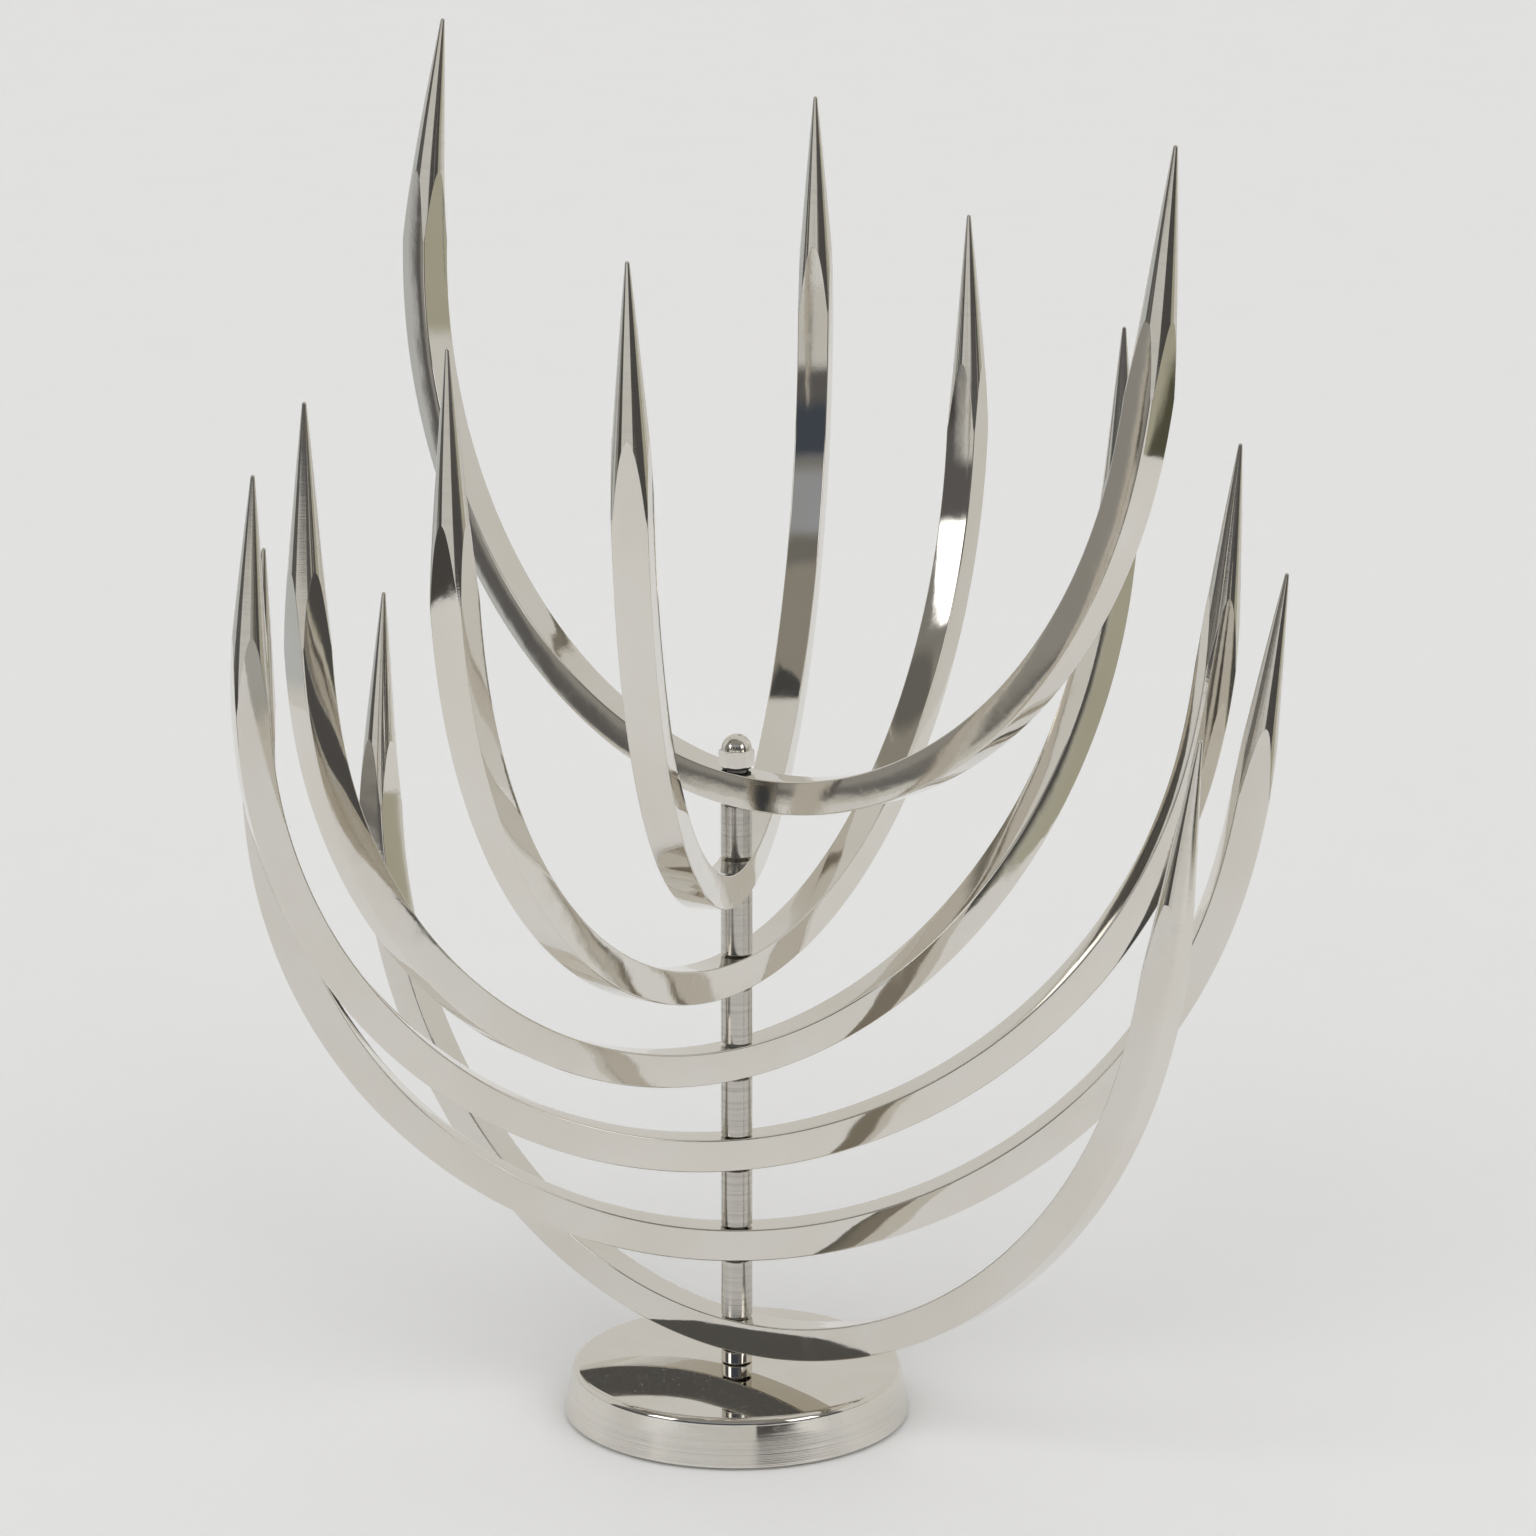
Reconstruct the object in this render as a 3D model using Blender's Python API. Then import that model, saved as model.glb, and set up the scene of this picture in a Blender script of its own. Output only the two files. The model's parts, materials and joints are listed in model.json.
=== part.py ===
"""Table-top kinetic sculpture in polished steel.

Seven curved square bars with needle-pointed ends turn one above another on a central
rod. Tubular sleeves space the bars, a domed nut holds the stack from above, and a
heavy turned base carries it. Metres, +Z up. The origin is the middle of the underside,
the X axis runs to the right and the bars' turns are counted from it.
"""

import math
from collections import namedtuple

import bmesh
import bpy

# Clearances and the rod's line
GAP = 0.0003  # between two pieces that touch on the real object
RUNNING_GAP = 0.0004  # round the rod, inside a bar's hole

# The curved bars: square stock, bent in one plane, both ends ground to a point
BAR = 0.010  # side of the square section
HALF_LENGTH = 0.2963  # from the middle of the bar to a tip, along the bar
EASING_LENGTH = 0.080  # over which the bend of an arm fades out
TIP_RADIUS = 0.0006
TIP_ROUNDING = 0.0003
POINT_TO_FLATS = 0.047  # from the tip to where the grinding runs out on the flats
POINT_TO_CORNERS = 0.072  # from the tip to where it runs out on the corners
CORNER_RADIUS = BAR / math.sqrt(2)
BEND_STEPS = 36
POINT_STEPS = 8
POINT_SIDES = 16  # a multiple of 8, so that each corner of the square has a point

# One arm of a bar: the whole angle it is bent through, in degrees, and how far from the
# middle of the bar its even bend ends.
Arm = namedtuple("Arm", "sweep bend_end")

# One bar: height of its middle, turn, the two small tilts that its loose hole lets it
# take (end to end, then sideways), how far its hole sits from its middle, and its two
# arms. Metres and degrees. The bars were bent by hand, so no two arms are quite alike.
Arc = namedtuple("Arc", "height turn rock lean hole_offset left right")
ARCS = (
    Arc(0.1970, -45.2, -1.75, -0.75, -0.0007, Arm(97.1, 0.2032), Arm(86.7, 0.1908)),
    Arc(0.1702, 79.8, 1.2, 0.05, 0.0012, Arm(87.0, 0.1901), Arm(91.5, 0.1925)),
    Arc(0.1400, 60.3, 0.8, 0.0, -0.0007, Arm(90.0, 0.1961), Arm(91.1, 0.2007)),
    Arc(0.1121, 36.9, 1.15, -1.5, -0.0024, Arm(93.0, 0.1920), Arm(86.6, 0.1945)),
    Arc(0.0831, 14.2, 0.3, -0.8, -0.0002, Arm(93.1, 0.1935), Arm(84.4, 0.1830)),
    Arc(0.0543, 6.1, -1.85, 0.3, -0.0005, Arm(91.4, 0.1929), Arm(84.2, 0.1817)),
    Arc(0.0252, -39.2, 1.05, -1.45, -0.0009, Arm(93.2, 0.1980), Arm(81.7, 0.1817)),
)

# Rod, sleeves and fasteners
ROD_RADIUS = 0.003
THREAD_GAP = 0.0003  # a threaded bore is left plain, this much over the rod
BAR_HOLE_RADIUS = ROD_RADIUS + RUNNING_GAP
SLEEVE_RADIUS = 0.00475
SLEEVE_BORE_RADIUS = 0.0033
SLEEVE_CHAMFER = 0.0003
NUT_FLATS = 0.010  # across the flats
NUT_CHAMFER_ANGLE = math.radians(30)
DOMED_NUT_HEX_HEIGHT = 0.0052
DOME_RADIUS = 0.0044
DOME_HEIGHT = 0.0040
DOMED_NUT_BORE_DEPTH = 0.0065
CAP_WASHER_RADIUS = 0.0049
CAP_WASHER_THICKNESS = 0.0008
BASE_NUT_HEIGHT = 0.0040
BASE_WASHER_RADIUS = 0.0090
BASE_WASHER_THICKNESS = 0.0016

# Base and the pad under it
PAD_RADIUS = 0.0490
PAD_THICKNESS = 0.0008
BASE_BOTTOM = PAD_THICKNESS + GAP
BASE_TOP = 0.0156
BASE_FOOT_RADIUS = 0.0528
BASE_SHOULDER_RADIUS = 0.0505  # where the tapered side meets the rounded top edge
BASE_FOOT_CHAMFER = 0.0005
BASE_EDGE_ROUNDING = 0.0022
RECESS_RADIUS = 0.0120
RECESS_DEPTH = 0.0070
ROUND_SIDES = 36
BASE_SIDES = 72


def clear_scene():
    for obj in list(bpy.data.objects):
        bpy.data.objects.remove(obj, do_unlink=True)


def metal(name, colour, roughness, metallic=1.0):
    """A plain material with the piece's own colour and finish."""
    material = bpy.data.materials.new(name)
    material.use_nodes = True
    shader = material.node_tree.nodes["Principled BSDF"]
    shader.inputs["Base Color"].default_value = (*colour, 1.0)
    shader.inputs["Roughness"].default_value = roughness
    shader.inputs["Metallic"].default_value = metallic
    return material


def add_object(name, mesh, material=None, location=(0.0, 0.0, 0.0)):
    obj = bpy.data.objects.new(name, mesh)
    obj.location = location
    bpy.context.scene.collection.objects.link(obj)
    if material:
        mesh.materials.append(material)
    return obj


def finish_mesh(name, bm, smooth_angle=math.radians(35)):
    """Close the bmesh into a mesh that is smooth except at its real edges."""
    bmesh.ops.recalc_face_normals(bm, faces=bm.faces)
    mesh = bpy.data.meshes.new(name)
    bm.to_mesh(mesh)
    bm.free()
    mesh.shade_smooth()
    mesh.set_sharp_from_angle(angle=smooth_angle)
    return mesh


def add_ring(bm, points):
    return [bm.verts.new(point) for point in points]


def bridge(bm, ring, next_ring):
    """Quads between two closed rings with the same number of points."""
    count = len(ring)
    for i in range(count):
        j = (i + 1) % count
        bm.faces.new((ring[i], ring[j], next_ring[j], next_ring[i]))


def turned_mesh(name, profile, sides=ROUND_SIDES):
    """A closed profile of (radius, height) points turned once round Z.

    A profile that starts and ends on the axis makes a solid piece; any other one is
    joined from its last point to its first and makes a ring.
    """
    bm = bmesh.new()
    on_axis = profile[0][0] == 0.0
    rings = []
    for radius, height in profile:
        if radius == 0.0:
            rings.append([bm.verts.new((0.0, 0.0, height))])
            continue
        angles = [2 * math.pi * i / sides for i in range(sides)]
        points = [(radius * math.cos(a), radius * math.sin(a), height) for a in angles]
        rings.append(add_ring(bm, points))
    pairs = list(zip(rings, rings[1:]))
    if not on_axis:
        pairs.append((rings[-1], rings[0]))
    for ring, next_ring in pairs:
        if len(ring) == 1 or len(next_ring) == 1:
            pole, rim = (ring[0], next_ring) if len(ring) == 1 else (next_ring[0], ring)
            for i in range(sides):
                bm.faces.new((pole, rim[i], rim[(i + 1) % sides]))
        else:
            bridge(bm, ring, next_ring)
    return finish_mesh(name, bm)


def rounded_corner(centre, radius, start_deg, end_deg, steps=6):
    """Points of a profile's rounded edge, as (radius, height)."""
    turned = [math.radians(start_deg + (end_deg - start_deg) * i / steps) for i in range(steps + 1)]
    return [(centre[0] + radius * math.cos(a), centre[1] + radius * math.sin(a)) for a in turned]


def cut_with(obj, cutter, operation="DIFFERENCE"):
    """Keep a Boolean modifier on the piece; the other shape is only a guide."""
    cutter.hide_render = True
    cutter.display_type = "WIRE"
    modifier = obj.modifiers.new(f"{operation.lower()}_{cutter.name}", "BOOLEAN")
    modifier.operation = operation
    modifier.solver = "EXACT"
    modifier.object = cutter


# ---------------------------------------------------------------- curved bars


def bend_angle(distance, arm):
    """Angle that an arm has turned through at a distance from the middle of its bar.

    The bend is even as far as arm.bend_end, then eases off smoothly to nothing.
    """
    eased = min(max((distance - arm.bend_end) / EASING_LENGTH, 0.0), 1.0)
    turned = min(distance, arm.bend_end) + EASING_LENGTH * (eased - eased**3 + eased**4 / 2)
    return turned / bend_radius(arm)


def bend_radius(arm):
    """Radius of the even part of the bend, on the bar's middle line."""
    return (arm.bend_end + EASING_LENGTH / 2) / math.radians(arm.sweep)


def arm_line(side, arm, stops):
    """Middle line of one arm at the stops: (x, z, slope) from the hole outwards."""
    fine_step = 0.0007
    x = z = walked = 0.0
    line = []
    for stop in stops:
        steps = max(1, round((stop - walked) / fine_step))
        step = (stop - walked) / steps
        for _ in range(steps):
            middle = bend_angle(walked + step / 2, arm)
            x += step * math.cos(middle)
            z += step * math.sin(middle)
            walked += step
        line.append((side * x, z, side * bend_angle(stop, arm)))
    return line


def point_radius(from_tip):
    """Radius of the ground point at a distance from its tip: a slight ogive."""
    flats, corners = POINT_TO_FLATS, POINT_TO_CORNERS
    slope_1 = (BAR / 2 - TIP_RADIUS) / flats
    slope_2 = (CORNER_RADIUS - TIP_RADIUS) / corners
    curve = (slope_2 - slope_1) / (corners - flats)
    return TIP_RADIUS + from_tip * (slope_1 + curve * (from_tip - flats))


def section_point(angle, radius):
    """A point of the square section with its corners ground back to a radius."""
    to_square = BAR / 2 / max(abs(math.cos(angle)), abs(math.sin(angle)))
    reach = min(radius, to_square)
    return reach * math.cos(angle), reach * math.sin(angle)


def place_section(station, section):
    """Section points (sideways, inwards) set square to the middle line at a station."""
    x, z, slope = station
    return [(x - v * math.sin(slope), u, z + v * math.cos(slope)) for u, v in section]


def arc_mesh(name, arc):
    """The whole bar in its own plane, XZ, with its hole's place at the origin."""
    bm = bmesh.new()
    corners = [math.radians(45 + 90 * i) for i in range(4)]
    square = [section_point(a, 1.0) for a in corners]
    around = [math.radians(45) + 2 * math.pi * i / POINT_SIDES for i in range(POINT_SIDES)]
    from_tip = [POINT_TO_CORNERS * (1 - i / POINT_STEPS) for i in range(POINT_STEPS)]
    inner_rings = []
    for side, arm in ((-1, arc.left), (1, arc.right)):
        length = HALF_LENGTH + side * arc.hole_offset
        bend_length = length - POINT_TO_CORNERS
        bend_stops = [bend_length * (i + 0.5) / BEND_STEPS for i in range(BEND_STEPS)]
        point_stops = [length - t for t in from_tip] + [length - TIP_ROUNDING, length]
        radii = [point_radius(t) for t in from_tip] + [TIP_RADIUS, TIP_RADIUS - TIP_ROUNDING]
        line = arm_line(side, arm, bend_stops + point_stops)
        bend, point = line[:BEND_STEPS], line[BEND_STEPS:]
        ring = add_ring(bm, place_section(bend[0], square))
        inner_rings.append(ring)
        for station in bend[1:]:
            next_ring = add_ring(bm, place_section(station, square))
            bridge(bm, ring, next_ring)
            ring = next_ring
        sections = [[section_point(a, radius) for a in around] for radius in radii]
        many = add_ring(bm, place_section(point[0], sections[0]))
        per_side = POINT_SIDES // 4
        for i in range(4):
            run = [many[(i * per_side + k) % POINT_SIDES] for k in range(per_side + 1)]
            bm.faces.new([ring[(i + 1) % 4], ring[i]] + run)
        for station, section in zip(point[1:], sections[1:]):
            next_many = add_ring(bm, place_section(station, section))
            bridge(bm, many, next_many)
            many = next_many
        bm.faces.new(many)
    bridge(bm, *inner_rings)
    return finish_mesh(name, bm)


def make_arc(number, arc, material):
    """One bar on its own pivot, an empty on the rod that turns with the bar."""
    name = f"arc_{number}"
    pivot = bpy.data.objects.new(f"{name}_pivot", None)
    pivot.location = (0.0, 0.0, arc.height)
    pivot.rotation_euler = (0.0, 0.0, math.radians(arc.turn))
    pivot.empty_display_size = 0.02
    bpy.context.scene.collection.objects.link(pivot)
    bar = add_object(name, arc_mesh(name, arc), material)
    drill_profile = [(0.0, -BAR), (BAR_HOLE_RADIUS, -BAR), (BAR_HOLE_RADIUS, BAR), (0.0, BAR)]
    drill = add_object(f"{name}_drill", turned_mesh(f"{name}_drill", drill_profile, 24))
    for obj in (bar, drill):
        obj.parent = pivot
        obj.rotation_mode = "ZYX"
        obj.rotation_euler = (math.radians(arc.lean), math.radians(-arc.rock), 0.0)
    cut_with(bar, drill)


# ------------------------------------------------------- rod, sleeves, fasteners


def seat_gap(arc, radius):
    """Room that a tilted bar needs so that it clears a flat end of this radius."""
    tilt = abs(math.sin(math.radians(arc.rock))) + abs(math.sin(math.radians(arc.lean)))
    return GAP + radius * tilt


def top_of(arc, radius):
    """Lowest place for a flat end of this radius that sits in the hollow of the bar."""
    inner_radius = min(bend_radius(arc.left), bend_radius(arc.right)) - BAR / 2
    return arc.height + BAR / 2 + radius**2 / 2 / inner_radius + seat_gap(arc, radius)


def bottom_of(arc, radius):
    """Highest place for a flat end of this radius under the bar."""
    return arc.height - BAR / 2 - seat_gap(arc, radius)


def sleeve_mesh(name, low, high):
    outer, bore, chamfer = SLEEVE_RADIUS, SLEEVE_BORE_RADIUS, SLEEVE_CHAMFER
    profile = [
        (bore, low),
        (outer - chamfer, low),
        (outer, low + chamfer),
        (outer, high - chamfer),
        (outer - chamfer, high),
        (bore, high),
    ]
    return turned_mesh(name, profile)


def hexagon_mesh(name, low, high):
    bm = bmesh.new()
    corner = NUT_FLATS / math.sqrt(3)
    angles = [math.radians(60 * i) for i in range(6)]
    rings = [
        add_ring(bm, [(corner * math.cos(a), corner * math.sin(a), z) for a in angles])
        for z in (low, high)
    ]
    bridge(bm, *rings)
    bm.faces.new(rings[0])
    bm.faces.new(rings[1])
    return finish_mesh(name, bm)


def chamfer_rise(radius):
    """Height that a nut's corner chamfer takes off at this radius."""
    return max(0.0, radius - 0.97 * NUT_FLATS / 2) * math.tan(NUT_CHAMFER_ANGLE)


def make_nut(name, low, high, material, dome=False):
    """A hexagon nut with chamfered corners, open below or, undomed, right through."""
    nut = add_object(name, hexagon_mesh(name, low, high), material)
    wide = NUT_FLATS * 0.62
    flat = 0.97 * NUT_FLATS / 2
    top = high + (DOME_HEIGHT if dome else 0.0)
    envelope = [(0.0, low), (flat, low), (wide, low + chamfer_rise(wide))]
    envelope += [(wide, high - chamfer_rise(wide)), (flat, high)]
    if dome:
        steps = 8
        for i in range(steps):
            a = math.radians(90 * i / steps)
            envelope.append((DOME_RADIUS * math.cos(a), high + DOME_HEIGHT * math.sin(a)))
    envelope.append((0.0, top))
    if dome:
        crown = [(0.0, high - 0.001), (DOME_RADIUS, high - 0.001)]
        crown += [point for point in envelope if point[1] > high and point[0] > 0.0]
        crown.append((0.0, top))
        cut_with(nut, add_object(f"{name}_crown", turned_mesh(f"{name}_crown", crown)), "UNION")
    shape = add_object(f"{name}_envelope", turned_mesh(f"{name}_envelope", envelope))
    cut_with(nut, shape, "INTERSECT")
    bore_top = low + DOMED_NUT_BORE_DEPTH if dome else high + 0.001
    bore_radius = ROD_RADIUS + THREAD_GAP
    bore = [(0.0, low - 0.001), (bore_radius, low - 0.001), (bore_radius, bore_top), (0.0, bore_top)]
    cut_with(nut, add_object(f"{name}_bore", turned_mesh(f"{name}_bore", bore)))
    return nut


def ring_mesh(name, bore_radius, radius, low, high):
    profile = [(bore_radius, low), (radius, low), (radius, high), (bore_radius, high)]
    return turned_mesh(name, profile)


# ------------------------------------------------------------------------- base


def base_mesh(name):
    """Turned base: tapered side, rounded top edge, hole and nut recess below."""
    bore = ROD_RADIUS + GAP
    recess_top = BASE_BOTTOM + RECESS_DEPTH
    rounding = BASE_EDGE_ROUNDING
    centre = (BASE_SHOULDER_RADIUS - rounding, BASE_TOP - rounding)
    profile = [
        (bore, recess_top),
        (RECESS_RADIUS, recess_top),
        (RECESS_RADIUS, BASE_BOTTOM),
        (BASE_FOOT_RADIUS - BASE_FOOT_CHAMFER, BASE_BOTTOM),
        (BASE_FOOT_RADIUS, BASE_BOTTOM + BASE_FOOT_CHAMFER),
    ]
    profile += rounded_corner(centre, rounding, 8, 90)
    profile.append((bore, BASE_TOP))
    return turned_mesh(name, profile, BASE_SIDES)


def pad_mesh(name):
    profile = [(0.0, 0.0), (PAD_RADIUS, 0.0), (PAD_RADIUS, PAD_THICKNESS), (0.0, PAD_THICKNESS)]
    return turned_mesh(name, profile)


def build():
    clear_scene()
    polished = metal("polished_steel", (0.78, 0.77, 0.74), 0.08)
    turned = metal("turned_steel", (0.70, 0.69, 0.66), 0.22)
    plain = metal("plain_steel", (0.55, 0.55, 0.54), 0.35)
    black = metal("black_nylon", (0.03, 0.03, 0.03), 0.6, 0.0)
    felt = metal("dark_felt", (0.05, 0.05, 0.05), 0.9, 0.0)

    add_object("base_pad", pad_mesh("base_pad"), felt)
    add_object("base", base_mesh("base"), turned)

    for number, arc in enumerate(ARCS, 1):
        make_arc(number, arc, polished)

    for number, (upper, lower) in enumerate(zip(ARCS, ARCS[1:]), 1):
        low = top_of(lower, SLEEVE_RADIUS)
        high = bottom_of(upper, SLEEVE_RADIUS)
        add_object(f"sleeve_{number}", sleeve_mesh(f"sleeve_{number}", low, high), turned)
    foot_high = bottom_of(ARCS[-1], SLEEVE_RADIUS)
    add_object("foot_sleeve", sleeve_mesh("foot_sleeve", BASE_TOP + GAP, foot_high), polished)

    washer_low = top_of(ARCS[0], CAP_WASHER_RADIUS)
    washer_high = washer_low + CAP_WASHER_THICKNESS
    bore = ROD_RADIUS + GAP
    cap_washer = ring_mesh("cap_washer", bore, CAP_WASHER_RADIUS, washer_low, washer_high)
    add_object("cap_washer", cap_washer, black)
    nut_low = washer_high + GAP
    make_nut("domed_nut", nut_low, nut_low + DOMED_NUT_HEX_HEIGHT, polished, dome=True)

    recess_top = BASE_BOTTOM + RECESS_DEPTH
    base_washer_high = recess_top - GAP
    base_washer_low = base_washer_high - BASE_WASHER_THICKNESS
    base_washer = ring_mesh("base_washer", bore, BASE_WASHER_RADIUS, base_washer_low, base_washer_high)
    add_object("base_washer", base_washer, plain)
    base_nut_high = base_washer_low - GAP
    make_nut("base_nut", base_nut_high - BASE_NUT_HEIGHT, base_nut_high, plain)

    rod_low = base_nut_high - BASE_NUT_HEIGHT
    rod_high = nut_low + DOMED_NUT_BORE_DEPTH - GAP
    rod = [(0.0, rod_low), (ROD_RADIUS, rod_low), (ROD_RADIUS, rod_high), (0.0, rod_high)]
    add_object("central_rod", turned_mesh("central_rod", rod, 32), plain)


build()
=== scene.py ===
"""Looks of the table-top kinetic sculpture: seven polished steel bars on a turned base.

Metres, +Z up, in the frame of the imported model. The bars, the sleeves, the domed nut, the
washer under it and the base are rebuilt here with finer meshes, and each piece rides on the
body of the node that it stands for. The other nodes are shown as packed, with new finishes.
"""

import json
import math
from collections import namedtuple

import bmesh
import bpy
import numpy as np
from mathutils import Euler, Matrix, Vector
from mathutils.kdtree import KDTree

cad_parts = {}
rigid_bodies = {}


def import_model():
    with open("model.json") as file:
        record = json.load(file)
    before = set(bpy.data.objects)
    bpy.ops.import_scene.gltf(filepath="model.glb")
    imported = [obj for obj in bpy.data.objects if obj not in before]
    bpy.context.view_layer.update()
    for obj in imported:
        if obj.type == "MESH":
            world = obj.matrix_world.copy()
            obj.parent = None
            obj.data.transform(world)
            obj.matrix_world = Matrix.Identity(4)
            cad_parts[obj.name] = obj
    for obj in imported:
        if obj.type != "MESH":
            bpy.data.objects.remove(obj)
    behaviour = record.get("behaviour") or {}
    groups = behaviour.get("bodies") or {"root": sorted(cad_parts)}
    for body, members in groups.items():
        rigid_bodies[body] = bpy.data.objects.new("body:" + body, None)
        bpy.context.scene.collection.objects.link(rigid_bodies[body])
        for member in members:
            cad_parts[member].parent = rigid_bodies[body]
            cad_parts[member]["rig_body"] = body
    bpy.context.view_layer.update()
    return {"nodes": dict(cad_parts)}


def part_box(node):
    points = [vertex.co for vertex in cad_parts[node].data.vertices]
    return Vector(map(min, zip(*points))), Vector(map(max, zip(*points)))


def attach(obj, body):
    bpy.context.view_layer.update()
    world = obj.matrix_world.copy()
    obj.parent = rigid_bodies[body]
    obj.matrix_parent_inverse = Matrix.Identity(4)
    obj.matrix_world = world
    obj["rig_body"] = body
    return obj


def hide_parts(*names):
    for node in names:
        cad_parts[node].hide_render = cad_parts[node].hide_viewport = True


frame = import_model()

# ------------------------------------------------------------------ dimensions

# The bars: square, bent over the rod, and ground to a point at both ends.
BAR = 0.010
HALF = BAR / 2
CORNER_RADIUS = BAR / math.sqrt(2)
EDGE_RADIUS = 0.00045  # the long edges, softened by polishing
EDGE_REACH = (HALF - EDGE_RADIUS) * math.sqrt(2) + EDGE_RADIUS
CROWN = math.radians(3.0)  # how far polishing has tipped a flat towards its edges
HALF_LENGTH = 0.2963  # along the bar, from its middle to a tip
EASING_LENGTH = 0.080  # over which an arm's bend eases off
TIP_RADIUS = 0.0006
POINT_TO_FLATS = 0.047  # from the tip to where the point's cone reaches the flats
POINT_TO_CORNERS = 0.072
BAR_HOLE_RADIUS = 0.0034

# The stack on the rod, and the base.
GAP = 0.0003
ROD_RADIUS = 0.003
ROD_BORE = ROD_RADIUS + GAP
SLEEVE_RADIUS, SLEEVE_EDGE = 0.00475, 0.0003
CAP_WASHER_RADIUS, CAP_WASHER_HEIGHT, CAP_WASHER_EDGE = 0.0044, 0.0005, 0.00015
NUT_FLATS = 0.0093
NUT_PLAY = 0.00005  # between the washer and the nut
NUT_BORE_DEPTH = 0.0065
NUT_CHAMFER = math.radians(30)
DOME_RADIUS, DOME_HEIGHT = 0.0046, 0.0046
DOME_STEP = 0.00003  # from the foot of the dome to the start of the nut's chamfer
BASE_FOOT_RADIUS, BASE_SHOULDER_RADIUS = 0.0528, 0.0505
BASE_EDGE_ROUNDING, FOOT_EDGE = 0.0022, 0.0005
SHOULDER_START = 4  # degrees at which the rounding takes over from the tapered side
RECESS_RADIUS, RECESS_DEPTH = 0.0120, 0.0070

# Each bar's height on the rod, its turn about it, how far it rocks and leans in its loose
# hole, and how far the hole is off its middle; each arm's whole bend and the distance from
# the hole at which the bend starts to ease off. Angles are in degrees.
Arm = namedtuple("Arm", "sweep bend_end")
Arc = namedtuple("Arc", "height turn rock lean hole_offset left right")
ARCS = (
    Arc(0.1970, -45.2, -1.75, -0.75, -0.0007, Arm(97.1, 0.2032), Arm(86.7, 0.1908)),
    Arc(0.1702, 79.8, 1.2, 0.05, 0.0012, Arm(87.0, 0.1901), Arm(91.5, 0.1925)),
    Arc(0.1400, 60.3, 0.8, 0.0, -0.0007, Arm(90.0, 0.1961), Arm(91.1, 0.2007)),
    Arc(0.1121, 36.9, 1.15, -1.5, -0.0024, Arm(93.0, 0.1920), Arm(86.6, 0.1945)),
    Arc(0.0831, 14.2, 0.3, -0.8, -0.0002, Arm(93.1, 0.1935), Arm(84.4, 0.1830)),
    Arc(0.0543, 6.1, -1.85, 0.3, -0.0005, Arm(91.4, 0.1929), Arm(84.2, 0.1817)),
    Arc(0.0252, -39.2, 1.05, -1.45, -0.0009, Arm(93.2, 0.1980), Arm(81.7, 0.1817)),
)

# How finely the meshes are divided.
HALF_FLAT_STEPS = 3
CORNER_POINTS = 5
CORNER_LIP = 0.1  # share of a corner's turn between its points and each flat
GROUND_LIP = 0.00010  # width kept free where the cone cuts into a flat
SMALLEST_HALF_FLAT = 0.00002
BEND_SPACING = 0.002
POINT_SPACING = 0.0012
WALK_STEP = 0.0005  # in which a bar's curve is walked
TIP_ROUNDING = 0.8 * TIP_RADIUS
TIP_CLEARANCE = 2.5 * TIP_RADIUS  # of the last straight section from the rounded tip
TIP_ANGLES = (0, 25, 45, 65, 80)
NOT_GROUND = 1.0  # a cone radius that is beyond the whole section
DRILL_SIDES = 48
SAME_POINT = 1e-6
SUPPORT = 0.00006  # of a profile's extra points from the ends of its long stretches
LONG_STRETCH = 6 * SUPPORT
ROUND_SIDES, BASE_SIDES = 144, 256
SHARP_ANGLE = math.radians(35)
TUBE_EDGE_STEPS, FOOT_EDGE_STEPS, SHOULDER_STEPS = 4, 5, 12
DOME_STEPS, CHAMFER_STEPS = 14, 6

# ------------------------------------------------------------------- mesh tools


def new_object(name, mesh, material):
    """An object in the scene, with one material."""
    obj = bpy.data.objects.new(name, mesh)
    bpy.context.scene.collection.objects.link(obj)
    mesh.materials.append(material)
    return obj


def stand_for(obj, node):
    """The piece rides on its node's body and is shown instead of the node."""
    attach(obj, frame["nodes"][node]["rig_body"])
    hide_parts(node)


def with_supports(profile, closed):
    """The profile with a point added close to each end of its long stretches.

    The points keep the smooth shading of a rounded edge off its neighbours.
    """
    following = profile[1:] + (profile[:1] if closed else [])
    points = []
    for (r0, z0), (r1, z1) in zip(profile, following):
        points.append((r0, z0))
        length = math.hypot(r1 - r0, z1 - z0)
        if length > LONG_STRETCH:
            for share in (SUPPORT / length, 1 - SUPPORT / length):
                points.append((r0 + share * (r1 - r0), z0 + share * (z1 - z0)))
    return points if closed else points + [profile[-1]]


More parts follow.
